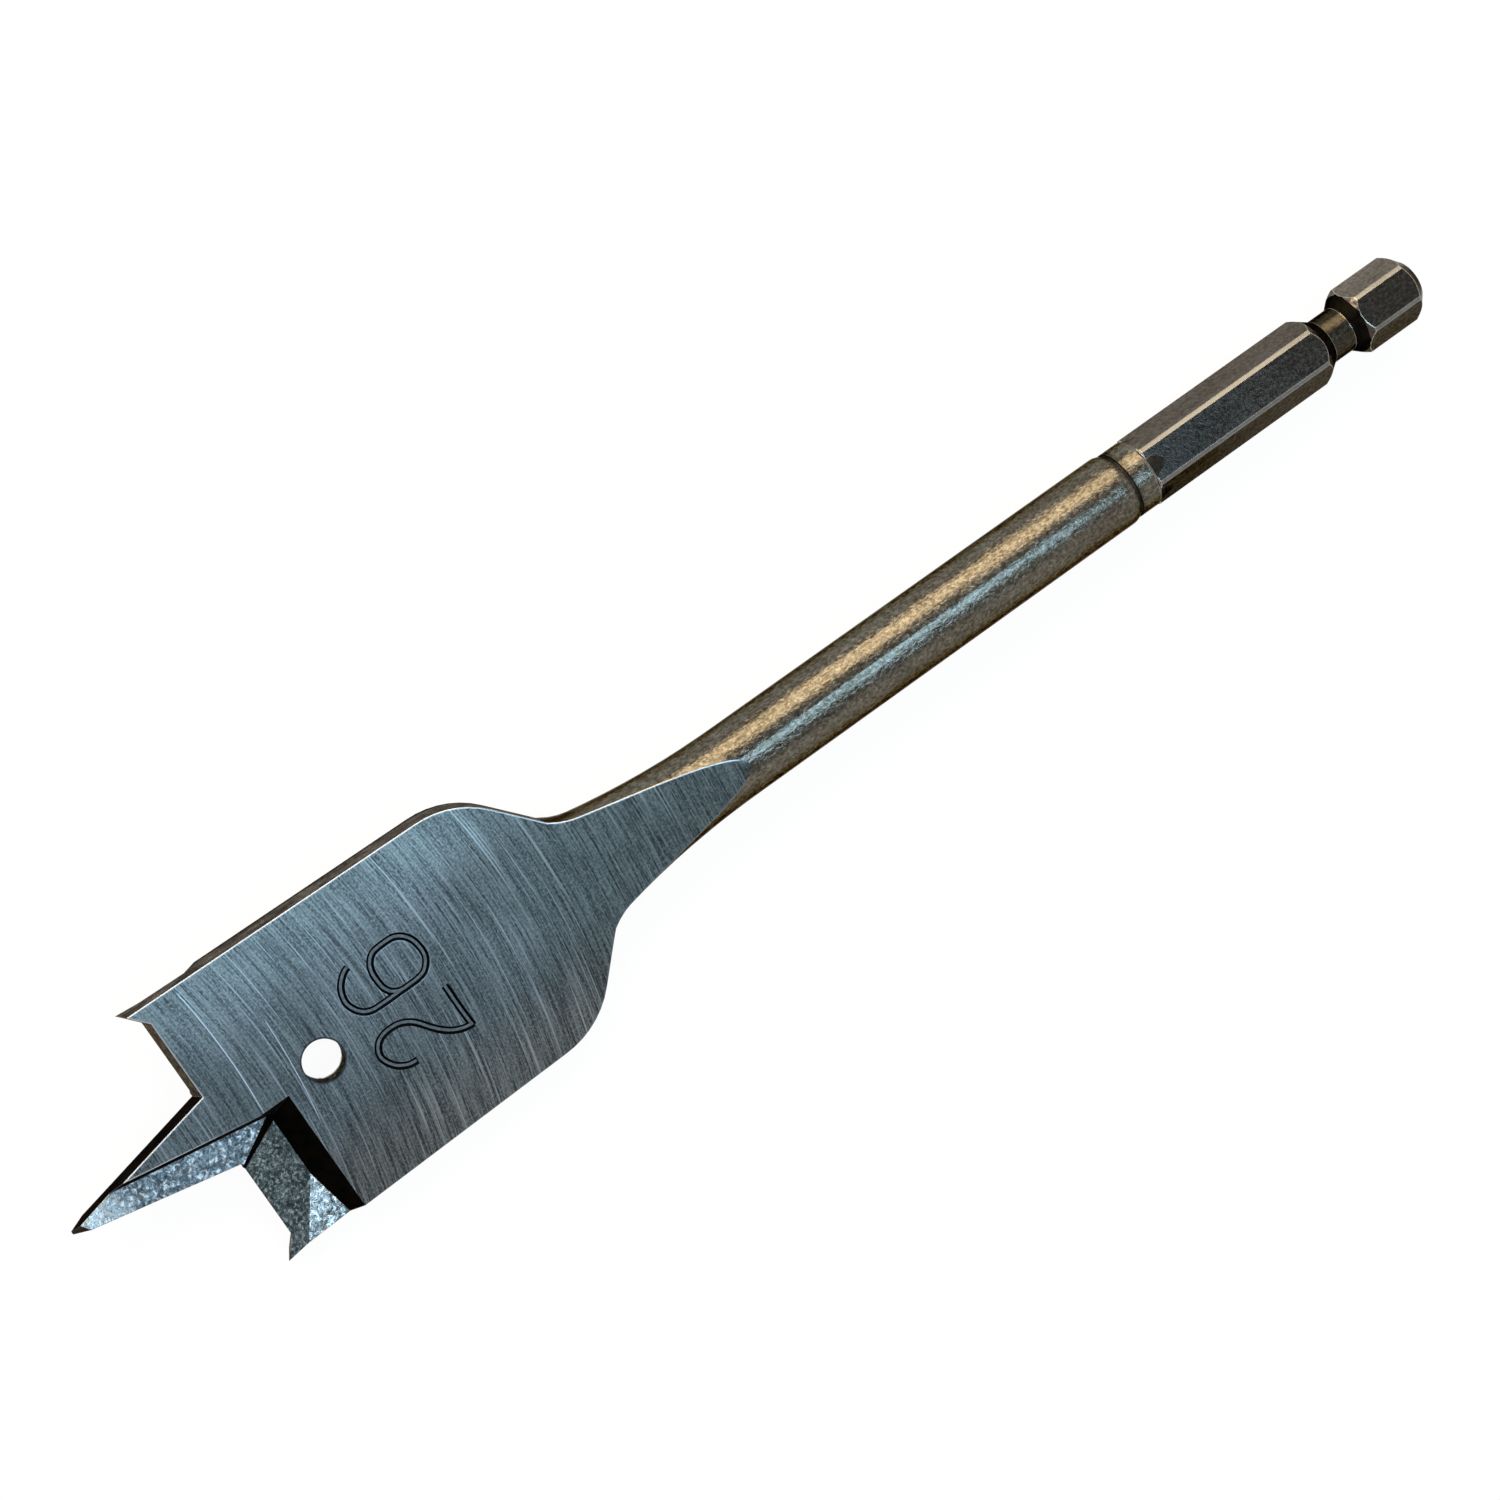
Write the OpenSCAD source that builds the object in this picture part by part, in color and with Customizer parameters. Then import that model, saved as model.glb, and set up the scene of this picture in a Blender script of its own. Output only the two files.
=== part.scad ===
// Spade drill bit, forged and ground from one piece of steel.
// Lies along X: shank end at the origin, point toward +X, blade flat in the XY plane.
// Lengths named "back" run from the tip toward the shank.

/* [Overall] */
// Length from shank end to tip
overall_len = 152; // [140:1:300]

/* [Hex shank] */
// Width across the flats
hex_af = 6.35; // [6:0.05:7]
// Diameter over the rounded corners
hex_corner_d = 7.1; // [6.8:0.05:7.3]
// Length of the hexagon
hex_len = 33.8; // [28:0.05:40]
// Angle between the hexagon and the blade
hex_turn = 11.3; // [0:0.1:30]
// Height of the chamfer at the shank end
end_chamfer = 1.3; // [0.6:0.1:1.8]
// Diameter of the holding groove
groove_d = 4.7; // [4.4:0.1:5.2]
// Distance from the shank end to the groove floor
groove_start = 8.6; // [8:0.1:10]
// Length of the groove floor
groove_len = 2.5; // [2:0.1:3.5]
// Length of the sloped side nearer the shank end
groove_lead_end = 1.55; // [1:0.05:2]
// Length of the sloped side nearer the blade
groove_lead_blade = 1.8; // [1:0.05:2.5]

/* [Collar and shaft] */
// Collar diameter
collar_d = 6.95; // [6.8:0.05:7.2]
// Collar length
collar_len = 2.3; // [1.5:0.1:4]
// Length of the cone that runs out from the collar over the flats
collar_runout = 1.85; // [1:0.1:3]
// Length of the small bevel on the collar edge
collar_edge = 0.3; // [0.15:0.05:0.5]
// Width of the line cut between collar and shaft
parting_w = 0.35; // [0.15:0.05:0.5]
// Depth of that line below the collar
parting_depth = 0.2; // [0.1:0.05:0.4]
// Shaft diameter
shaft_d = 7.3; // [7:0.05:8]
// Length of the rounded end of the shaft
shaft_round = 0.8; // [0.4:0.1:1.5]

/* [Neck] */
// Distance from the tip back to the start of the neck curve on the shaft
neck_back = 70; // [66:0.5:74]
// Radius of the neck curve
neck_r = 80; // [70:1:100]
// Length of the neck curve
neck_len = 14.7; // [13:0.1:17]
// Radius where the neck turns out into the shoulders
root_r = 6.5; // [4:0.1:8]

/* [Blade] */
// Cutting diameter across the spurs
cut_d = 26; // [22:0.5:30]
// Width at the shoulders, less than the cutting diameter
shoulder_w = 25; // [20.8:0.1:28.8]
// Blade thickness
thickness = 3.3; // [3:0.1:3.8]
// Radius of the shoulder corners
shoulder_r = 8.5; // [6:0.1:10]
// Slope of the shoulders against the axis
shoulder_angle = 48; // [43:0.1:53]
// Radius of the grinding wheel where the flats run out on the shaft
runout_r = 160; // [120:1:200]
// Distance from the tip back to the start of the run-out
runout_back = 52; // [50:0.5:54]
// Slope at which the run-out leaves the flat
runout_entry = 2.75; // [1:0.25:5]
// Diameter of the hanging hole
hole_d = 3.8; // [3:0.1:5]
// Distance from the tip back to the hole
hole_back = 25.3; // [24.5:0.1:30]

/* [Cutting end] */
// Distance from the tip back to the cutting lips
lip_back = 14.7; // [13:0.1:17]
// Height of the spurs ahead of the lips
spur_h = 1.35; // [0.8:0.05:2]
// Width of each spur at its root
spur_w = 1.65; // [1.2:0.05:2.5]
// Clearance angle behind the lips
lip_clearance = 12.6; // [8:0.1:16]
// Depth of each rake pocket at its end wall
pocket_depth = 2.2; // [1.8:0.05:2.4]
// Slope of the pocket floor toward the lip
hook_angle = 17.4; // [12:0.1:20]
// Distance from the lip to the foot of the pocket wall
pocket_len = 4.3; // [3.8:0.1:5]
// Slope of the pocket end wall
wall_angle = 45; // [40:1:60]
// Slope of the wall between pocket and point
draft_angle = 40; // [30:1:50]
// Lean of the inner walls of pocket and point
wall_lean = 29; // [20:1:35]
// Slope of the raised outer corner of the pocket
corner_angle = 11.7; // [8:0.1:14]
// Distance of that corner in from the spur
corner_in = 4.7; // [3.5:0.1:6]

/* [Point] */
// Width of the point at the lips
point_w = 6.84; // [6:0.02:8]
// Width left at the very tip
tip_w = 0.28; // [0.2:0.02:1]
// Height left at the very tip
tip_h = 0.24; // [0.16:0.02:0.5]
// Slope of the small facets at the tip
tip_angle = 39; // [30:1:50]
// Turn of those facets about the blade normal
tip_turn = 23; // [10:1:30]
// Depth of the point's rake face at its inner wall
point_depth = 1; // [0.7:0.05:1.2]
// Slope of the point's rake face
point_rake = 11.3; // [8:0.1:14]
// Turn of that rake face against the axis
point_turn = 9.9; // [8:0.1:12]
// Distance from the tip back to where its inner wall leaves the point
point_back = 5.7; // [5:0.1:7]

/* [Hidden] */
$fn = 96;
eps = 0.01;
big = 40;
half_t = thickness / 2;
hex_corner_r = hex_corner_d / 2;
groove_r = groove_d / 2;
collar_r = collar_d / 2;
shaft_r = shaft_d / 2;
shaft_x = hex_len + collar_len + parting_w;
round_drop = shaft_r - collar_r + 0.02;
round_r = (shaft_round * shaft_round + round_drop * round_drop) / (2 * round_drop);
neck_x = overall_len - neck_back;
root_x = neck_x + neck_len;
neck_slope = asin(neck_len / neck_r);
root_y = shaft_r + neck_r * (1 - cos(neck_slope));
root_cx = root_x - root_r * sin(neck_slope);
root_cy = root_y + root_r * cos(neck_slope);
// The shoulder line starts on the root arc at this slope
meet_slope = shoulder_angle - 6;
meet_x = root_cx + root_r * sin(meet_slope);
meet_y = root_cy - root_r * cos(meet_slope);
flare_x = root_cx + root_r * sin(shoulder_angle - 3);
corner_cy = shoulder_w / 2 - shoulder_r;
corner_ty = corner_cy + shoulder_r * cos(shoulder_angle);
corner_tx = meet_x + (corner_ty - meet_y) / tan(shoulder_angle);
corner_cx = corner_tx + shoulder_r * sin(shoulder_angle);
stem_y = shaft_r / 2;
stem_x = meet_x - (meet_y - stem_y) / tan(shoulder_angle);
lip_x = overall_len - lip_back;
spur_x = lip_x + spur_h;
spur_y = cut_d / 2;
// Lying down, the bit rolls on its shaft until one spur touches
rest_turn = asin(shaft_r / norm([spur_y, half_t])) - atan(half_t / spur_y);
side_slope = (spur_y - shoulder_w / 2) / (spur_x - corner_cx);
foot_x = lip_x - pocket_len;
foot_z = half_t - pocket_depth;
lip_z = foot_z + pocket_len * tan(hook_angle);
wall_x = foot_x - pocket_depth / tan(wall_angle);
pocket_y = 0.75;
corner_y = spur_y - corner_in;
// The wall between pocket and point meets the floor at these distances from the axis
web_foot_y = 2.4;
web_lip_y = point_w / 2 + 0.58;
web_run = pocket_len - 0.2;
web_rise = web_run * tan(hook_angle);
web_plan = atan2(web_lip_y - web_foot_y, web_run);
web_turn = web_plan + asin(web_rise * tan(draft_angle) / norm([web_run, web_lip_y - web_foot_y]));
point_slope = (point_w - tip_w) / 2 / lip_back;
apex_x = overall_len - point_back;
apex_y = -(tip_w / 2 + point_slope * point_back) + point_depth * tan(wall_lean);

// Hexagon with chamfered end, rounded corners and holding groove
module hex_shank() {
  intersection() {
    rotate([hex_turn, 0, 0])
      rotate([0, 90, 0])
        rotate([0, 0, 30])
          cylinder(d = hex_af / cos(30), h = hex_len, $fn = 6);
    rotate([0, 90, 0])
      rotate_extrude()
        polygon([
          [0, 0],
          [hex_corner_r - end_chamfer, 0],
          [hex_corner_r, end_chamfer],
          [hex_corner_r, groove_start - groove_lead_end],
          [groove_r, groove_start],
          [groove_r, groove_start + groove_len],
          [hex_corner_r, groove_start + groove_len + groove_lead_blade],
          [hex_corner_r, hex_len],
          [0, hex_len]
        ]);
  }
}

// Half section of collar, shaft and neck, radius against length
module turned_section() {
  polygon([
    [0, hex_len - collar_runout],
    [hex_af / 2 - 0.05, hex_len - collar_runout],
    [collar_r - collar_edge / 3, hex_len + collar_edge / 4],
    [collar_r, hex_len + collar_edge],
    [collar_r, hex_len + collar_len],
    [0, hex_len + collar_len]
  ]);
  translate([0, hex_len + collar_len - eps])
    square([collar_r - parting_depth, parting_w + 2 * eps]);
  intersection() {
    translate([0, shaft_x])
      square([shaft_r + 1, shaft_round]);
    translate([shaft_r - round_r, shaft_x + shaft_round])
      circle(r = round_r);
  }
  translate([0, shaft_x + shaft_round])
    square([shaft_r, neck_x - shaft_x - shaft_round]);
  difference() {
    translate([0, neck_x])
      square([shaft_r + 4, neck_len]);
    translate([shaft_r + neck_r, neck_x])
      circle(r = neck_r, $fn = 720);
  }
  difference() {
    translate([0, root_x])
      square([root_cy - root_r * cos(shoulder_angle), flare_x - root_x]);
    translate([root_cy, root_cx])
      circle(r = root_r);
  }
}

module turned_body() {
  rotate([0, 90, 0])
    rotate_extrude()
      turned_section();
}

// Flat outline of the wings and shoulders, one side of the axis
module half_outline() {
  polygon([
    [spur_x + 1, 0],
    [spur_x + 1, spur_y + side_slope],
    [corner_cx, shoulder_w / 2],
    [corner_tx, corner_ty],
    [stem_x, stem_y],
    [stem_x, 0]
  ]);
  translate([corner_cx, corner_cy])
    circle(r = shoulder_r);
}

// Material ahead of one lip and spur, sloped back behind the cutting edge
module lip_cut() {
  translate([lip_x, 0, lip_z])
    rotate([0, lip_clearance, 0])
      translate([0, 0, -big / 2])
        linear_extrude(big)
          polygon([
            [0, -eps],
            [0, spur_y - spur_w],
            [2 * spur_h, spur_y + spur_w],
            [big, spur_y + spur_w],
            [big, -eps]
          ]);
}

module wings() {
  difference() {
    translate([0, 0, -half_t - 1])
      linear_extrude(thickness + 2) {
        half_outline();
        mirror([0, 1])
          half_outline();
      }
    for (turn = [0, 180])
      rotate([turn, 0, 0])
        lip_cut();
  }
}

module point() {
  translate([0, 0, -half_t - 1])
    linear_extrude(thickness + 2)
      polygon([
        [overall_len, -tip_w / 2],
        [overall_len, tip_w / 2],
        [foot_x, tip_w / 2 + point_slope * (overall_len - foot_x)],
        [foot_x, -tip_w / 2 - point_slope * (overall_len - foot_x)]
      ]);
}

// What the wheel takes off one face: a flat that runs out on the shaft
module ground_face() {
  translate([0, big / 2, 0])
    rotate([90, 0, 0])
      linear_extrude(big) {
        runout_x = overall_len - runout_back;
        translate([runout_x, half_t])
          square([runout_back + 5, 20]);
        intersection() {
          translate([runout_x - 24, half_t])
            square([24, 20]);
          translate([
            runout_x + runout_r * sin(runout_entry),
            half_t + runout_r * cos(runout_entry)
          ])
            circle(r = runout_r, $fn = 720);
        }
      }
}

// Everything on the tip side of the pocket end wall, with the hooked floor
module pocket_space(floor_angle) {
  rise = half_t + 6 - foot_z;
  translate([0, big / 2 + pocket_y, 0])
    rotate([90, 0, 0])
      linear_extrude(big / 2)
        polygon([
          [foot_x, foot_z],
          [foot_x + 25, foot_z + 25 * tan(floor_angle)],
          [foot_x + 25, foot_z + rise],
          [foot_x - rise / tan(wall_angle), foot_z + rise]
        ]);
}

// Rake pocket on the leading face of one wing
module rake_pocket() {
  difference() {
    pocket_space(hook_angle);
    translate([foot_x, corner_y, foot_z])
      rotate([corner_angle, -2.1, 0])
        translate([-big / 2, -big / 2, -big])
          cube(big);
    translate([foot_x, web_foot_y, foot_z])
      rotate([0, 0, web_turn])
        rotate([draft_angle, 0, 0])
          translate([-big / 2, -big, -big / 2])
            cube(big);
    translate([foot_x - big / 2, pocket_y, half_t])
      rotate([wall_lean, 0, 0])
        translate([0, -big, -big / 2])
          cube(big);
  }
}

// Rake face along one edge of the point
module point_rake_face() {
  difference() {
    translate([apex_x, apex_y, half_t - point_depth])
      rotate([0, 0, -point_turn])
        rotate([90, 0, 90])
          translate([0, 0, -point_back - 8.5])
            linear_extrude(point_back + 25)
              polygon([
                [0, 0],
                [12, 12 * tan(point_rake)],
                [12, 8],
                [-8 * tan(wall_lean), 8]
              ]);
    translate([wall_x, 0, half_t])
      rotate([0, wall_angle, 0])
        translate([-big, -big / 2, -big])
          cube(big);
  }
}

// Small facet that ends the point
module tip_facet() {
  translate([overall_len, 0, tip_h / 2])
    rotate([0, 0, tip_turn])
      rotate([0, tip_angle, 0])
        translate([-8, -6, 0])
          cube([16, 12, 10]);
}

module spade_bit() {
  color([0.48, 0.48, 0.47])
    rotate([-rest_turn, 0, 0])
      difference() {
        union() {
          hex_shank();
          turned_body();
          wings();
          point();
        }
        for (turn = [0, 180])
          rotate([turn, 0, 0]) {
            ground_face();
            rake_pocket();
            point_rake_face();
            tip_facet();
          }
        translate([overall_len - hole_back, 0, -half_t - 1])
          cylinder(d = hole_d, h = thickness + 2);
      }
}

spade_bit();
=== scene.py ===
"""Spade drill bit on a white studio floor, seen from above its ground face."""

import math

import bmesh
import bpy
from mathutils import Matrix, Vector, noise


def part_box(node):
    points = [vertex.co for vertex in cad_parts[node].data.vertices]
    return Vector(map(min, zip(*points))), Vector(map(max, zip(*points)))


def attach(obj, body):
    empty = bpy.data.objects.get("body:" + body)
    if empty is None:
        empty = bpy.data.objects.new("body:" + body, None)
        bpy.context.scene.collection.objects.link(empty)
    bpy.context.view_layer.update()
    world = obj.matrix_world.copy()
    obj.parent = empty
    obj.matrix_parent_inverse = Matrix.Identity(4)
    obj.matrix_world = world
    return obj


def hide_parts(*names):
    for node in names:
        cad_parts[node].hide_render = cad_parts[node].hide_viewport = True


MM = 0.001
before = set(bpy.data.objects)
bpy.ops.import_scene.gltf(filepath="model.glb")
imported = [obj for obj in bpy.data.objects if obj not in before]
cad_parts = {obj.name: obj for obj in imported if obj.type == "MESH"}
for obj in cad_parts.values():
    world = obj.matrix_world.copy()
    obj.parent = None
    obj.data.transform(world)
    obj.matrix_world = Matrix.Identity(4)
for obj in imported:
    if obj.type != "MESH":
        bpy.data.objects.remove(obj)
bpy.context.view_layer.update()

# Sizes of the part that the looks refer to, in mm
FACE_Z = 1.65
SPUR_Y = 13.0
SHAFT_R = 3.65
HOLE_X, HOLE_R = 126.7, 1.9
HEX_END, COLLAR_END = 33.8, 36.1
HEX_TURN = 11.3  # degrees

# The bit lies rolled on its shaft until one spur touches.
# Looks are laid out with the blade level, then turned so.
REST_TURN = math.asin(SHAFT_R / math.hypot(SPUR_Y, FACE_Z)) - math.atan(FACE_Z / SPUR_Y)
REST = Matrix.Rotation(-REST_TURN, 4, "X")


# ---------------------------------------------------------------- size number

DIGIT_DEPTH = 0.20
STROKE_TOP, STROKE_FOOT = 0.70, 0.25  # width of a stroke at the face and at its floor
STROKE_END = 0.22                     # how far a stroke runs past the ends of its line
DIGITS_X, DIGITS_HALF = 118.4, (5.5, 7.0)  # middle and reach of the number's surroundings

# Centre lines of the two digits on the front face, in mm
SIX_HOOK = [(120.71, -5.48), (121.08, -5.31), (121.67, -4.81), (122.13, -4.14), (122.36, -3.24),
            (122.29, -2.6), (121.95, -1.88), (121.43, -1.36), (120.76, -1.1), (119.9, -1.05),
            (118.76, -1.04), (117.61, -1.05)]
SIX_BOWL = [(119.09, -3.16), (119.01, -2.26), (118.66, -1.56), (118.14, -1.19), (117.61, -1.05),
            (116.85, -1.04), (116.08, -1.07), (115.32, -1.27), (114.73, -1.85), (114.44, -2.49),
            (114.42, -3.27), (114.62, -4.19), (115.09, -4.89), (115.72, -5.32), (116.39, -5.44),
            (117.72, -5.39), (118.4, -5.09), (118.89, -4.45), (119.08, -3.7)]
TWO_CURVE = [(120.2, 4.92), (120.82, 4.83), (121.64, 4.38), (122.2, 3.7), (122.5, 2.94),
             (122.4, 2.24), (121.94, 1.6), (121.28, 1.26), (120.42, 1.17), (119.56, 1.29),
             (118.74, 1.72), (118.18, 2.27), (117.65, 3.0), (117.09, 3.71), (116.5, 4.29),
             (115.88, 4.71), (115.2, 5.01), (114.37, 5.17)]
TWO_BASE = [(114.37, 5.17), (114.45, 3.87), (114.48, 2.35), (114.49, 1.02)]


def smooth_line(points, closed, parts=4):
    """A finer line through the points (Catmull-Rom)."""
    points = [Vector(p) for p in points]
    count = len(points)
    line = []
    for i in range(count if closed else count - 1):
        if closed:
            p0, p1, p2, p3 = (points[(i + k) % count] for k in (-1, 0, 1, 2))
        else:
            p0, p1, p2, p3 = (points[min(max(i + k, 0), count - 1)] for k in (-1, 0, 1, 2))
        for k in range(parts):
            t = k / parts
            line.append(0.5 * (2 * p1 + (p2 - p0) * t + (2 * p0 - 5 * p1 + 4 * p2 - p3) * t * t
                               + (3 * p1 - p0 - 3 * p2 + p3) * t ** 3))
    if not closed:
        line.append(points[-1])
    return line


def stroke_cutter(name, points, closed, depth):
    """A ridge along a digit's centre line. Cut from the face it leaves a groove with sloped walls."""
    line = smooth_line(points, closed)
    count = len(line)
    over = 0.2
    top = STROKE_TOP + (STROKE_TOP - STROKE_FOOT) * over / depth
    corners = ((top / 2, FACE_Z + over), (-top / 2, FACE_Z + over),
               (-STROKE_FOOT / 2, FACE_Z - depth), (STROKE_FOOT / 2, FACE_Z - depth))
    bm = bmesh.new()
    rings = []
    for i, p in enumerate(line):
        before = line[(i - 1) % count] if closed or i else p
        after = line[(i + 1) % count] if closed or i < count - 1 else p
        along = (after - before).normalized()
        side = Vector((-along.y, along.x))
        ends = 0.0
        if not closed and i in (0, count - 1):
            ends = STROKE_END if i else -STROKE_END
        ring = []
        for half, z in corners:
            reach = ends * (1.0 if z > FACE_Z else 0.55)
            q = p + side * half + along * reach
            ring.append(bm.verts.new((q.x * MM, q.y * MM, z * MM)))
        rings.append(ring)
    for i in range(count if closed else count - 1):
        a, b = rings[i], rings[(i + 1) % count]
        for k in range(4):
            bm.faces.new((a[k], a[(k + 1) % 4], b[(k + 1) % 4], b[k]))
    if not closed:
        bm.faces.new(rings[0])
        bm.faces.new(reversed(rings[-1]))
    bmesh.ops.recalc_face_normals(bm, faces=bm.faces)
    mesh = bpy.data.meshes.new(name)
    bm.to_mesh(mesh)
    bm.free()
    cutter = bpy.data.objects.new(name, mesh)
    bpy.context.scene.collection.objects.link(cutter)
    return cutter


def engrave(obj):
    """Cuts the size number 26 into the front face."""
    cutters = [stroke_cutter("six_hook", SIX_HOOK, False, DIGIT_DEPTH),
               stroke_cutter("six_bowl", SIX_BOWL, True, DIGIT_DEPTH + 0.004),
               stroke_cutter("two_curve", TWO_CURVE, False, DIGIT_DEPTH),
               stroke_cutter("two_base", TWO_BASE, False, DIGIT_DEPTH + 0.004)]
    for cutter in cutters:
        cut = obj.modifiers.new(cutter.name, "BOOLEAN")
        cut.operation, cut.solver, cut.object = "DIFFERENCE", "EXACT", cutter
    bpy.context.view_layer.update()
    done = bpy.data.meshes.new_from_object(obj.evaluated_get(bpy.context.evaluated_depsgraph_get()))
    obj.modifiers.clear()
    old, obj.data = obj.data, done
    bpy.data.meshes.remove(old)
    for cutter in cutters:
        mesh = cutter.data
        bpy.data.objects.remove(cutter)
        bpy.data.meshes.remove(mesh)


# -------------------------------------------------------------------- regions

REGIONS = ["ground", "side", "wall", "forged", "raised", "strip", "flank", "lip", "turned", "hex",
           "corner", "runout_shade", "groove", "seam", "dark", "hole", "digit_wall", "digit_floor"]

# As-forged regions with the size and height of their bumps, and the step of the grid
# that carries the bumps, in mm
RELIEF = (("forged", 0.75, 0.030), ("raised", 0.72, 0.062), ("strip", 0.75, 0.050))
RELIEF_STEP = 0.28


def near(n, want, limit=0.985):
    return n.dot(Vector(want).normalized()) > limit


def region_of(c, n):
    """The finish of a face from its centre in mm and its normal.

    The cutting end repeats after half a turn about X.
    """
    x, y, z = c
    if x < HEX_END + 0.32:
        r = math.hypot(y, z)
        if x > HEX_END - 0.02:
            return "corner"
        if abs(n.x) < 0.05 and r > 2.9 and (x < 7.2 or x > 12.7):
            angle = (math.degrees(math.atan2(-n.y, n.z)) - HEX_TURN) % 60
            return "hex" if min(angle, 60 - angle) < 1 else "corner"
        if 6.9 < x < 13.0 and r < 3.1:
            return "seam" if abs(n.x) > 0.3 else "groove"
        # cone faces by the collar that turn away from the side lamp get a darker finish: painted
        # shade
        return "runout_shade" if x > 20 and n.y > -0.35 else "hex"
    if COLLAR_END - 0.02 < x < COLLAR_END + 0.37 and math.hypot(y, z) < 3.52:
        return "dark"
    run_out = x > 78 and abs(n.y) < 0.01 and abs(n.z) > 0.9 and abs(n.x) > 0.01
    if x < 81.2 and not run_out:
        return "turned"
    if 113 < x < 124 and abs(y) < 6.5 and 1.3 < z < FACE_Z - 0.004:
        return "digit_floor" if n.z > 0.98 else "digit_wall"
    on_face = x < 100.3 or abs(abs(z) - FACE_Z) < 0.01
    if on_face and abs(n.y) < 0.01 and abs(n.z) > 0.95 and n.x * n.x < 0.1:
        return "ground"
    if abs(n.z) < 0.01 and math.hypot(x - HOLE_X, y) < HOLE_R + 0.05:
        return "hole"
    if x < 98.6 or (x < 100.4 and abs(n.z) > 0.02):
        return "turned"
    flip = n.z < -0.1 or (abs(n.z) <= 0.1 and z < 0 and abs(y) < 1 and x > 130)
    m = Vector((n.x, -n.y, -n.z)) if flip else n
    if near(m, (-0.299, 0, 0.954)):
        return "forged"
    if near(m, (-0.036, -0.203, 0.979)):
        return "raised" if x < 138 and abs(y) > 7 else "strip"
    if near(m, (0.707, 0, 0.707)) or near(m, (-0.445, 0.624, 0.643), 0.95):
        return "wall"
    if x > 130 and near(m, (0.08, 0.87, 0.485), 0.95):
        return "flank"
    if abs(n.z) < 0.02 and x > 138 and abs(n.y) > 0.9 and abs(y) < 4:
        return "flank"
    if x > 150 and n.x > 0.5:
        return "dark"
    if x > 136.5 and (n.x > 0.5 or near(m, (0.755, 0.633, 0.169), 0.9)):
        return "lip"
    return "side"


def roughen(bm, faces, normal, size, depth, seed):
    """Cuts a flat region into a fine grid and lifts its inner points by noise: an as-forged skin."""
    u = normal.cross(Vector((0, 1, 0))).normalized()
    v = normal.cross(u).normalized()
    for axis in (u, v):
        spread = [axis.dot(p.co) for f in faces for p in f.verts]
        start, length = min(spread), max(spread) - min(spread)
        count = max(2, int(length / (RELIEF_STEP * MM)))
        for k in range(1, count):
            at = start + length * (k + 0.06) / count
            geom = set(faces)
            for f in faces:
                geom.update(f.edges)
                geom.update(f.verts)
            cut = bmesh.ops.bisect_plane(bm, geom=list(geom), plane_co=axis * at, plane_no=axis,
                                         dist=1e-8)
            faces = [g for g in cut["geom"] if isinstance(g, bmesh.types.BMFace)]
    inside = set(faces)
    shift = Vector((seed * 13.7, seed * 5.1, seed * 9.3))
    for p in {p for f in faces for p in f.verts}:
        if any(f not in inside for f in p.link_faces):
            continue
        at = p.co / MM / size + shift
        lift = noise.noise(at) + 0.55 * noise.noise(at * 2.3)
        p.co += normal * (lift * depth * MM)


def build_bit():
    """The bit as one closed mesh on the CAD surface, with its number and its forged skin."""
    bm = bmesh.new()
    bm.from_mesh(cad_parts["spade_bit"].data)
    bm.transform(REST.inverted())
    bmesh.ops.remove_doubles(bm, verts=bm.verts, dist=1e-6)
    bmesh.ops.dissolve_limit(bm, angle_limit=math.radians(0.05), verts=bm.verts, edges=bm.edges)
    mesh = bpy.data.meshes.new("bit_body")
    bm.to_mesh(mesh)
    bm.free()
    bit = bpy.data.objects.new("bit_body", mesh)
    bpy.context.scene.collection.objects.link(bit)
    engrave(bit)

    bm = bmesh.new()
    bm.from_mesh(bit.data)
    bm.normal_update()
    for f in bm.faces:
        f.material_index = REGIONS.index(region_of(f.calc_center_median() / MM, f.normal))
    for seed, (region, size, depth) in enumerate(RELIEF):
        index = REGIONS.index(region)
        for half in (1, -1):
            faces = [f for f in bm.faces if f.material_index == index and f.normal.z * half > 0]
            if faces:
                roughen(bm, faces, faces[0].normal.copy(), size, depth, seed + 1.5 * half + 3)
    bm.normal_update()
    for f in bm.faces:
        f.smooth = True
    for e in bm.edges:
        if len(e.link_faces) == 2:
            a, b = e.link_faces
            kinds = {REGIONS[a.material_index], REGIONS[b.material_index]}
            forged = kinds in ({"forged"}, {"raised"}, {"strip"})
            limit = 40 if forged else 2 if "hex" in kinds else 16
            e.smooth = e.calc_face_angle(0.0) < math.radians(limit)
    bm.transform(REST)
    bm.to_mesh(bit.data)
    bm.free()
    return bit


# ------------------------------------------------------------------ materials

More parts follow.
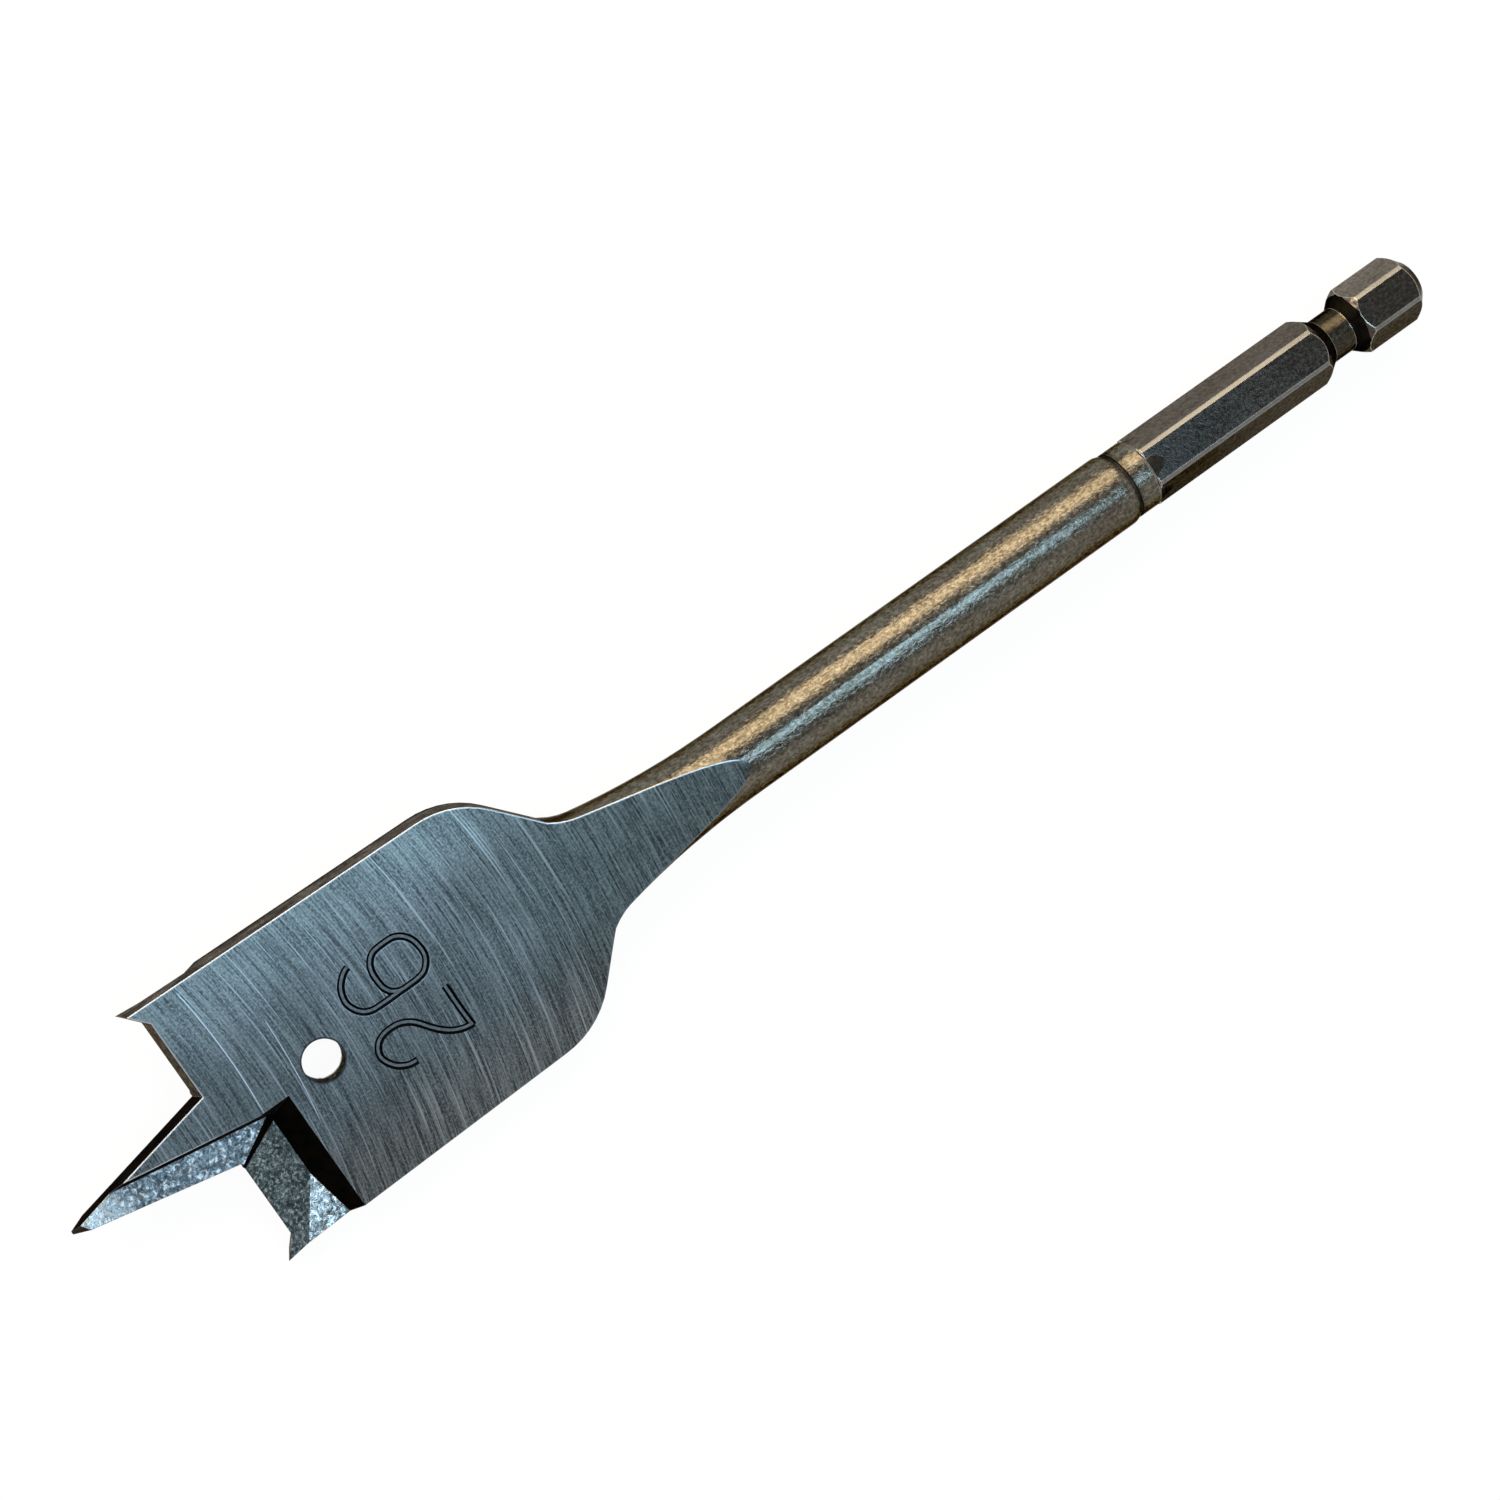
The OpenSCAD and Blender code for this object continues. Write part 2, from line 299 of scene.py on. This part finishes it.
class Nodes:
    """Shorthands for building one node material."""

    def __init__(self, name):
        self.material = bpy.data.materials.new(name)
        self.material.use_nodes = True
        self.tree = self.material.node_tree
        self.tree.nodes.clear()
        self.out = self.add("ShaderNodeOutputMaterial")
        self.shader = self.add("ShaderNodeBsdfPrincipled")
        self.link(self.shader.outputs[0], self.out.inputs["Surface"])
        self.place = self.level("Object")

    def add(self, kind):
        return self.tree.nodes.new(kind)

    def link(self, a, b):
        self.tree.links.new(a, b)

    def level(self, output):
        """Place or normal on the part with the blade level."""
        turn = self.add("ShaderNodeVectorRotate")
        turn.rotation_type = "X_AXIS"
        turn.inputs["Angle"].default_value = REST_TURN
        self.link(self.add("ShaderNodeTexCoord").outputs[output], turn.inputs["Vector"])
        return turn.outputs[0]

    def put(self, socket, value):
        if hasattr(value, "is_output"):
            self.link(value, socket)
        elif isinstance(value, (tuple, list)) and len(value) == 3 and len(socket.default_value) == 4:
            socket.default_value = (*value, 1.0)
        else:
            socket.default_value = value

    def math(self, op, a, b=0.0, c=None):
        node = self.add("ShaderNodeMath")
        node.operation = op
        self.put(node.inputs[0], a)
        self.put(node.inputs[1], b)
        if c is not None:
            self.put(node.inputs[2], c)
        return node.outputs[0]

    def mix(self, factor, a, b, blend="MIX"):
        node = self.add("ShaderNodeMix")
        node.data_type, node.blend_type = "RGBA", blend
        self.put(node.inputs[0], factor)
        self.put(node.inputs[6], a)
        self.put(node.inputs[7], b)
        return node.outputs[2]

    def tone(self, factor, color, gain):
        """The colour, times a gain per channel as far as the factor says."""
        return self.mix(factor, color, self.mix(1.0, color, gain, "MULTIPLY"))

    def span(self, value, low, high, to_low=0.0, to_high=1.0):
        node = self.add("ShaderNodeMapRange")
        node.interpolation_type = "SMOOTHSTEP"
        for socket, v in zip(node.inputs, (value, low, high, to_low, to_high)):
            self.put(socket, v)
        return node.outputs[0]

    def scaled(self, x, y, z):
        """The place on the part in mm, times a scale per axis."""
        node = self.add("ShaderNodeVectorMath")
        node.operation = "MULTIPLY"
        self.link(self.place, node.inputs[0])
        node.inputs[1].default_value = (x / MM, y / MM, z / MM)
        return node.outputs[0]

    def noise(self, vector, detail, rough, distortion=0.0):
        node = self.add("ShaderNodeTexNoise")
        self.link(vector, node.inputs["Vector"])
        node.inputs["Scale"].default_value = 1.0
        node.inputs["Detail"].default_value = detail
        node.inputs["Roughness"].default_value = rough
        node.inputs["Distortion"].default_value = distortion
        return node.outputs[0]

    def split(self, vector):
        node = self.add("ShaderNodeSeparateXYZ")
        self.link(vector, node.inputs[0])
        return node.outputs

    def axes(self):
        """The place on the part in mm, as x, y and z."""
        return self.split(self.scaled(1, 1, 1))

    def join(self, x, y, z):
        node = self.add("ShaderNodeCombineXYZ")
        for socket, v in zip(node.inputs, (x, y, z)):
            self.put(socket, v)
        return node.outputs[0]

    def bump(self, height, distance, strength, normal=None):
        node = self.add("ShaderNodeBump")
        node.inputs["Strength"].default_value = strength
        node.inputs["Distance"].default_value = distance * MM
        self.put(node.inputs["Height"], height)
        if normal is not None:
            self.put(node.inputs["Normal"], normal)
        return node.outputs[0]

    def worn(self, radius, low=0.003, high=0.05):
        """A mask, 1 at sharp edges and 0 on open surface, and the normal of the rounded edge."""
        round_ = self.add("ShaderNodeBevel")
        round_.samples = 6
        round_.inputs["Radius"].default_value = radius * MM
        flat = self.add("ShaderNodeNewGeometry")
        dot = self.add("ShaderNodeVectorMath")
        dot.operation = "DOT_PRODUCT"
        self.link(round_.outputs[0], dot.inputs[0])
        self.link(flat.outputs["Normal"], dot.inputs[1])
        away = self.math("SUBTRACT", 1.0, dot.outputs["Value"])
        return self.span(away, low, high), round_.outputs[0]

    def finish(self, color, rough, normal, tint=(0.5, 0.5, 0.5)):
        """Bare or oxidised metal; the tint is its colour at grazing angles."""
        for name, value in (("Base Color", color), ("Roughness", rough), ("Metallic", 1.0),
                            ("Specular Tint", tint), ("Normal", normal)):
            self.put(self.shader.inputs[name], value)
        return self.material


def ground_steel():
    """Ground face: fine arcs of the wheel across the blade, long scratches, bright worn edges with a
    painted highlight on one side.
    """
    m = Nodes("ground_steel")
    x, y, z = m.axes()
    from_mid = m.math("ADD", y, 3.0)
    bow = m.math("MULTIPLY", m.math("POWER", from_mid, 2.0), 1 / 120)
    s = m.math("SUBTRACT", x, bow)
    side = m.math("MULTIPLY", y, m.span(z, -0.5, 0.5, -1.0, 1.0))

    def arcs(across, along, layer):
        return m.join(m.math("MULTIPLY", s, across), m.math("MULTIPLY", y, along), layer)

    fine = m.noise(arcs(6.5, 0.22, z), 4.0, 0.68)
    broad = m.noise(arcs(1.3, 0.07, z), 2.0, 0.5)
    grit = m.noise(m.scaled(5.5, 4.0, 5.5), 3.0, 0.65)
    cloud = m.noise(m.scaled(0.10, 0.16, 0.1), 2.0, 0.5)
    streak = m.noise(arcs(5.2, 0.075, m.math("ADD", z, 7.0)), 1.0, 0.4)
    color = m.mix(m.span(fine, 0.32, 0.68), (0.038, 0.043, 0.043), (0.194, 0.207, 0.203))
    color = m.tone(m.span(broad, 0.35, 0.65), color, (0.78, 0.79, 0.80))
    color = m.mix(m.span(grit, 0.47, 0.64, 0.0, 0.6), color, (0.25, 0.258, 0.253))
    color = m.mix(m.span(grit, 0.45, 0.33, 0.0, 0.55), color, (0.045, 0.047, 0.047))
    color = m.tone(m.span(cloud, 0.35, 0.68, 0.0, 0.45), color, (0.72, 0.70, 0.68))
    color = m.mix(m.span(streak, 0.63, 0.74, 0.0, 0.65), color, (0.34, 0.35, 0.345))
    color = m.mix(m.span(streak, 0.36, 0.27, 0.0, 0.5), color, (0.040, 0.041, 0.041))
    # brighter toward one side of the blade, browner toward the other: partly the steel's own tint,
    # partly painted light; duller along the run-out
    color = m.tone(m.span(side, -5.0, -10.0), color, (1.30, 1.36, 1.34))
    color = m.tone(m.span(side, 4.0, 11.0), color, (1.20, 1.05, 0.95))
    color = m.tone(m.span(x, 110.0, 97.0), color, (0.80, 0.82, 0.78))
    color = m.mix(1.0, color, (0.825, 0.815, 0.795), "MULTIPLY")
    # two long scratches near the tip end of the front face
    for at, lean, start, end, width in ((133.12, 0.03, -12.6, 1.8, 0.075),
                                        (128.95, 0.062, -6.2, 5.4, 0.05)):
        off = m.math("SUBTRACT", s, m.math("MULTIPLY_ADD", from_mid, lean, at))
        line = m.span(m.math("ABSOLUTE", off), width, width * 0.4)
        reach = m.math("MULTIPLY", m.span(y, start, start + 0.8), m.span(y, end, end - 2.5))
        line = m.math("MULTIPLY", m.math("MULTIPLY", line, reach), m.span(z, 1.0, 1.4))
        color = m.mix(m.math("MULTIPLY", line, 0.85), color, (0.46, 0.47, 0.48))
    # a thin dark line around the hole
    from_hole = m.math("POWER", m.math("SUBTRACT", x, HOLE_X), 2.0)
    from_hole = m.math("POWER", m.math("ADD", from_hole, m.math("POWER", y, 2.0)), 0.5)
    rim = m.math("SUBTRACT", from_hole, HOLE_R)
    color = m.mix(m.span(rim, 0.22, 0.07, 0.0, 0.85), color, (0.010, 0.011, 0.011))
    # worn edges with a painted highlight, bright on one side of each face; on the other side,
    # at the hole and at the number hardly
    wear_and_highlight = m.math("MULTIPLY", m.span(side, 1.0, -1.0, 0.10, 1.0), m.span(rim, 0.3, 0.9))
    number = 1.0
    for value, middle, half in zip((x, y), (DIGITS_X, 0.0), DIGITS_HALF):
        off = m.math("ABSOLUTE", m.math("SUBTRACT", value, middle))
        number = m.math("MULTIPLY", number, m.span(off, half, half - 0.5))
    wear_and_highlight = m.math("MULTIPLY", wear_and_highlight, m.span(number, 0.0, 1.0, 1.0, 0.15))
    wear, round_ = m.worn(0.22, 0.0008, 0.014)
    color = m.mix(m.math("MULTIPLY", wear, wear_and_highlight), color, (0.60, 0.65, 0.72))
    edge = m.add("ShaderNodeMix")
    edge.data_type = "VECTOR"
    m.link(wear_and_highlight, edge.inputs[0])
    m.link(m.add("ShaderNodeNewGeometry").outputs["Normal"], edge.inputs[4])
    m.link(round_, edge.inputs[5])
    rough = m.span(fine, 0.25, 0.75, 0.25, 0.36)
    height = m.math("ADD", m.math("MULTIPLY", fine, 0.6), m.math("MULTIPLY", broad, 0.5))
    return m.finish(color, rough, m.bump(height, 0.014, 0.7, edge.outputs[1]), (0.75, 0.78, 0.80))


def forged_skin(name, dark, light, rough, grain, bright, tip=False):
    """As-forged scale: blotchy and pitted, with bright high spots, paler toward the point's tip."""
    m = Nodes(name)
    blotch = m.noise(m.scaled(0.9, 0.9, 0.9), 3.0, 0.6)
    pits = m.noise(m.scaled(grain, grain, grain), 3.0, 0.65, 0.6)
    color = m.mix(m.span(blotch, 0.32, 0.68), dark, light)
    color = m.tone(m.span(pits, 0.56, 0.38, 0.0, 0.85), color, (0.25, 0.25, 0.25))
    color = m.mix(m.span(pits, 0.53, 0.66, 0.0, bright), color, (0.66, 0.68, 0.67))
    if tip:
        color = m.mix(m.span(m.axes()[0], 145.5, 150.0, 0.0, 0.55), color, (0.60, 0.62, 0.60))
    _, round_ = m.worn(0.12)
    return m.finish(color, m.span(pits, 0.3, 0.7, rough - 0.08, rough + 0.08),
                    m.bump(pits, 0.09, 0.9, round_))


def oxide(name, dark, light, rough, wear_to=None, radius=0.15, back=False):
    """Dark, dull oxide on unground surfaces."""
    m = Nodes(name)
    blotch = m.noise(m.scaled(0.35, 0.8, 0.8), 4.0, 0.6)
    grain = m.noise(m.scaled(3.2, 3.2, 3.2), 2.0, 0.5)
    color = m.mix(m.span(blotch, 0.30, 0.70), dark, light)
    color = m.tone(m.span(grain, 0.40, 0.70, 0.0, 0.35), color, (1.7, 1.65, 1.6))
    wear, round_ = m.worn(radius)
    if wear_to:
        color = m.mix(m.math("MULTIPLY", wear, 0.7), color, wear_to)
    if back:
        # painted shade: darker along the edge that lies away from the bright edge of the ground face
        _, y, z = m.axes()
        far = m.math("MULTIPLY", z, m.span(y, -0.5, 0.5, 1.0, -1.0))
        color = m.tone(m.span(far, -0.95, -1.35, 0.0, 0.95), color, (0.16, 0.14, 0.12))
    return m.finish(color, m.span(grain, 0.3, 0.7, rough - 0.06, rough + 0.06),
                    m.bump(grain, 0.02, 0.6, round_), (0.12, 0.11, 0.10))


def turned_bronze(name, base, dark, rough, waves=1.0, tint=(0.26, 0.235, 0.185),
                  flats_lit_and_shaded=False, flecks_and_shade=False):
    """Turned shank: thin bronze-brown oxide over metal, slightly uneven, with fine grain."""
    m = Nodes(name)
    x = m.axes()[0]
    uneven = m.noise(m.scaled(0.22, 0.9, 0.9), 2.0, 0.5)
    ripple = m.noise(m.scaled(0.35, 1.3, 1.3), 3.0, 0.55)
    grain = m.noise(m.scaled(2.6, 3.4, 3.4), 4.0, 0.66)
    patchy_tone = m.noise(m.scaled(0.12, 0.5, 0.5), 3.0, 0.6)
    color = m.mix(m.span(grain, 0.32, 0.68), dark, base)
    color = m.tone(m.span(patchy_tone, 0.42, 0.70, 0.0, 0.55), color, (0.70, 0.66, 0.60))
    dimple = m.noise(m.scaled(1.7, 2.4, 2.4), 3.0, 0.6, 0.9)
    if flecks_and_shade:
        # light and dark speckles, and painted shade on the lower side
        color = m.tone(m.span(dimple, 0.54, 0.70, 0.0, 0.7), color, (1.55, 1.55, 1.60))
        color = m.tone(m.span(dimple, 0.47, 0.32, 0.0, 0.8), color, (0.66, 0.56, 0.44))
        facing = m.split(m.level("Normal"))[1]
        color = m.tone(m.span(facing, 0.30, 0.85), color, (0.74, 0.68, 0.56))
    blade_end = m.mix(m.span(patchy_tone, 0.35, 0.65), (0.088, 0.080, 0.068), (0.190, 0.172, 0.148))
    color = m.mix(m.span(x, 92.0, 99.5), color, blade_end)
    if flats_lit_and_shaded:
        # painted light and shade on the hex faces: lighter on one side, the head most of all, and
        # duller toward the collar on the others
        facing = m.split(m.level("Normal"))[1]
        light = m.math("MULTIPLY", m.span(facing, -0.35, -0.6), m.span(x, 9.0, 8.0, 1.28, 1.85))
        flat_shade = m.span(facing, -0.35, -0.6, 1.0, 0.0)
        flat_shade = m.math("MULTIPLY", flat_shade, m.span(x, 18.0, 31.0, 0.68, 0.42))
        flat_shade = m.math("MULTIPLY", flat_shade, m.span(facing, 0.45, 0.7, 1.0, 1.35))
        level = m.math("ADD", light, flat_shade)
        color = m.mix(1.0, color, m.join(level, level, level), "MULTIPLY")
    wear, round_ = m.worn(0.15)
    # no bright edges along the blade's sides or at the dark line behind the collar
    line = m.math("ABSOLUTE", m.math("SUBTRACT", x, COLLAR_END + 0.2))
    wear = m.math("MULTIPLY", wear, m.span(x, 92.0, 99.0, 0.9, 0.0))
    wear = m.math("MULTIPLY", wear, m.span(line, 0.35, 0.7))
    color = m.mix(wear, color, (0.62, 0.57, 0.49))
    color = m.tone(m.span(line, 0.75, 0.15, 0.0, 0.6), color, (0.30, 0.28, 0.24))
    height = m.math("ADD", m.math("MULTIPLY", ripple, 0.7 * waves), m.math("MULTIPLY", grain, 0.25))
    height = m.math("ADD", height, m.math("MULTIPLY", dimple, 1.1 * waves))
    normal = m.bump(height, 0.06, 0.6, m.bump(uneven, 0.12 * waves, 0.5, round_))
    return m.finish(color, m.span(grain, 0.3, 0.7, rough - 0.05, rough + 0.07), normal, tint)


def hole_wall():
    """Bore: bright toward the back, darker and grainy below the front edge."""
    m = Nodes("hole_wall")
    z = m.axes()[2]
    grain = m.noise(m.scaled(3, 3, 3), 3.0, 0.6)
    bright_part = m.span(m.math("MULTIPLY_ADD", grain, 0.8, z), 0.75, 0.15)
    patchy_tone = m.mix(m.span(grain, 0.42, 0.62), (0.045, 0.045, 0.039), (0.185, 0.176, 0.146))
    color = m.mix(bright_part, patchy_tone, (1.0, 1.0, 1.0))
    rough = m.span(bright_part, 0.0, 1.0, 0.40, 0.10)
    tint = m.mix(bright_part, (0.10, 0.10, 0.09), (1.0, 1.0, 1.0))
    return m.finish(color, rough, m.bump(grain, 0.01, 0.4), tint)


def digit_metal(name, base, rough):
    """Walls and floors of the stamped number."""
    m = Nodes(name)
    grain = m.noise(m.scaled(4, 4, 4), 2.0, 0.5)
    color = m.mix(m.span(grain, 0.3, 0.7), m.mix(1.0, base, (0.6, 0.6, 0.6), "MULTIPLY"), base)
    return m.finish(color, rough, m.bump(grain, 0.02, 0.5), (0.3, 0.3, 0.3))


def materials():
    """One finish for each region."""
    return {
        "ground": ground_steel(),
        "side": oxide("side_oxide_and_shade", (0.078, 0.074, 0.068), (0.190, 0.180, 0.166), 0.5,
                      (0.27, 0.255, 0.23), back=True),
        # near-black pocket walls: oxide and painted shade
        "wall": oxide("wall_oxide_and_shade", (0.002, 0.002, 0.002), (0.006, 0.005, 0.004), 0.6),
        "forged": forged_skin("forged_floor", (0.052, 0.068, 0.065), (0.120, 0.142, 0.137),
                              0.38, 3.3, 0.34),
        "raised": forged_skin("forged_corner", (0.11, 0.11, 0.098), (0.36, 0.34, 0.31),
                              0.20, 2.0, 1.0),
        "strip": forged_skin("forged_strip", (0.085, 0.099, 0.103), (0.20, 0.222, 0.228),
                             0.30, 2.5, 0.75, tip=True),
        # near-black flanks of the point: oxide and painted shade, with worn edges
        "flank": oxide("flank_oxide_and_shade", (0.005, 0.005, 0.005), (0.012, 0.010, 0.009), 0.6,
                       (0.22, 0.24, 0.26), 0.08),
        "lip": oxide("lip_oxide", (0.13, 0.115, 0.09), (0.23, 0.205, 0.165), 0.4),
        "turned": turned_bronze("turned_bronze", (0.190, 0.177, 0.145), (0.078, 0.071, 0.056), 0.165,
                                flecks_and_shade=True),
        "hex": turned_bronze("hex_flats", (0.128, 0.115, 0.099), (0.072, 0.064, 0.055), 0.14, 0.3,
                             (0.36, 0.35, 0.33), flats_lit_and_shaded=True),
        "corner": turned_bronze("hex_corners", (0.20, 0.205, 0.205), (0.14, 0.142, 0.138), 0.34, 0.3),
        # painted shade on the run-out cone by the collar
        "runout_shade": turned_bronze("collar_runout_shade", (0.040, 0.036, 0.030), (0.022, 0.020, 0.016), 0.30, 0.3),
        "dark": oxide("dark_oxide", (0.018, 0.015, 0.011), (0.045, 0.038, 0.029), 0.45),
        "seam": oxide("seam_oxide", (0.003, 0.0025, 0.002), (0.010, 0.008, 0.006), 0.5),
        "groove": turned_bronze("groove_bronze", (0.068, 0.060, 0.043), (0.030, 0.026, 0.018),
                                0.20, 0.6),
        "hole": hole_wall(),
        "digit_wall": digit_metal("digit_wall", (0.003, 0.0032, 0.0035), 0.6),
        "digit_floor": digit_metal("digit_floor", (0.125, 0.130, 0.128), 0.40),
    }


# --------------------------------------------------------------------- studio

def floor_material():
    """Flat white to the eye and in reflections, with a little of the part's shadow near it."""
    m = bpy.data.materials.new("studio_floor")
    m.use_nodes = True
    t = m.node_tree
    t.nodes.clear()
    out = t.nodes.new("ShaderNodeOutputMaterial")
    paint = t.nodes.new("ShaderNodeBsdfDiffuse")
    paint.inputs["Color"].default_value = (0.92, 0.92, 0.92, 1)
    glow = t.nodes.new("ShaderNodeEmission")
    glow.inputs["Color"].default_value = (1, 1, 1, 1)
    glow.inputs["Strength"].default_value = 1.0
    path = t.nodes.new("ShaderNodeLightPath")
    seen = path.outputs["Is Camera Ray"]
    for ray in ("Is Glossy Ray", "Is Transmission Ray"):
        more = t.nodes.new("ShaderNodeMath")
        more.operation = "MAXIMUM"
        t.links.new(seen, more.inputs[0])
        t.links.new(path.outputs[ray], more.inputs[1])
        seen = more.outputs[0]
    place = t.nodes.new("ShaderNodeTexCoord")
    far = t.nodes.new("ShaderNodeVectorMath")
    far.operation = "LENGTH"
    t.links.new(place.outputs["Object"], far.inputs[0])
    share = t.nodes.new("ShaderNodeMapRange")
    for socket, v in zip(share.inputs[1:5], (0.10, 0.40, 0.95, 1.0)):
        socket.default_value = v
    t.links.new(far.outputs["Value"], share.inputs[0])
    both = t.nodes.new("ShaderNodeMath")
    both.operation = "MULTIPLY"
    t.links.new(seen, both.inputs[0])
    t.links.new(share.outputs[0], both.inputs[1])
    mix = t.nodes.new("ShaderNodeMixShader")
    t.links.new(both.outputs[0], mix.inputs[0])
    t.links.new(paint.outputs[0], mix.inputs[1])
    t.links.new(glow.outputs[0], mix.inputs[2])
    t.links.new(mix.outputs[0], out.inputs["Surface"])
    return m


def add_floor(z):
    mesh = bpy.data.meshes.new("studio_floor")
    r = 30.0
    mesh.from_pydata([(-r, -r, 0), (r, -r, 0), (r, r, 0), (-r, r, 0)], [], [(0, 1, 2, 3)])
    mesh.materials.append(floor_material())
    floor = bpy.data.objects.new("studio_floor", mesh)
    floor.location = (0.076, 0, z)
    bpy.context.scene.collection.objects.link(floor)


def add_lamp(name, place, aim, size, radiance, color):
    """A soft rectangular lamp of that radiance; its long side lies along X."""
    light = bpy.data.lights.new(name, "AREA")
    light.shape = "RECTANGLE"
    light.size, light.size_y = size
    light.color = color
    light.energy = radiance * math.pi * size[0] * size[1]
    lamp = bpy.data.objects.new(name, light)
    back = (Vector(place) - Vector(aim)).normalized()
    along = (Vector((1, 0, 0)) - back * back.x).normalized()
    turn = Matrix((along, back.cross(along), back)).transposed().to_4x4()
    lamp.matrix_world = REST @ Matrix.Translation(place) @ turn
    bpy.context.scene.collection.objects.link(lamp)


def add_world():
    """Soft grey room, darker overhead than around the sides."""
    world = bpy.data.worlds.new("studio")
    bpy.context.scene.world = world
    world.use_nodes = True
    t = world.node_tree
    back = next(n for n in t.nodes if n.type == "BACKGROUND")
    place = t.nodes.new("ShaderNodeTexCoord")
    up = t.nodes.new("ShaderNodeVectorMath")
    up.operation = "DOT_PRODUCT"
    t.links.new(place.outputs["Generated"], up.inputs[0])
    up.inputs[1].default_value = REST @ Vector((0, 0, 1))
    rise = t.nodes.new("ShaderNodeMapRange")
    rise.interpolation_type = "SMOOTHSTEP"
    for socket, v in zip(rise.inputs[1:5], (0.66, 0.95, 1.0, 0.33)):
        socket.default_value = v
    t.links.new(up.outputs["Value"], rise.inputs[0])
    low = t.nodes.new("ShaderNodeMapRange")
    for socket, v in zip(low.inputs[1:5], (0.0, 0.6, 0.74, 0.90)):
        socket.default_value = v
    t.links.new(up.outputs["Value"], low.inputs[0])
    level = t.nodes.new("ShaderNodeMath")
    level.operation = "MULTIPLY"
    t.links.new(rise.outputs[0], level.inputs[0])
    t.links.new(low.outputs[0], level.inputs[1])
    t.links.new(level.outputs[0], back.inputs["Strength"])
    back.inputs["Color"].default_value = (1.0, 0.99, 0.97, 1)


def add_camera():
    """The photograph's view: position and turn from the fit of the part's landmarks, in mm."""
    at, aim = Vector((139.596, -71.111, 245.788)), Vector((79.762, 0.099, 0.0))
    back = (at - aim).normalized()
    along = Vector((-1, 0, 0))
    along = (along - back * along.dot(back)).normalized()
    across = back.cross(along)
    turn = math.radians(35.55) - 0.001
    right = math.cos(turn) * along - math.sin(turn) * across
    up = math.sin(turn) * along + math.cos(turn) * across
    data = bpy.data.cameras.new("camera")
    data.sensor_fit, data.sensor_width, data.lens = "HORIZONTAL", 36.0, 69.96
    data.shift_x, data.shift_y = -0.00035, 0.00049
    data.clip_start, data.clip_end = 0.01, 100.0
    camera = bpy.data.objects.new("camera", data)
    axes = Matrix((right, up, back)).transposed().to_4x4()
    camera.matrix_world = REST @ Matrix.Translation(at * MM) @ axes
    bpy.context.scene.collection.objects.link(camera)
    bpy.context.scene.camera = camera


bit = build_bit()
finishes = materials()
for region in REGIONS:
    bit.data.materials.append(finishes[region])
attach(bit, "root")
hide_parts("spade_bit")

low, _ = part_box("spade_bit")
add_floor(low.z)
add_world()
add_lamp("overhead", (-0.010, 0.012, 0.60), (-0.010, 0.012, 0.0), (0.40, 0.22), 4.7,
         (0.56, 0.90, 1.24))
add_lamp("side", (0.08, -0.55, 0.30), (0.08, 0.0, 0.0), (1.1, 0.44), 3.9, (1.0, 0.78, 0.50))
add_camera()
bpy.context.scene.view_settings.view_transform = "Standard"
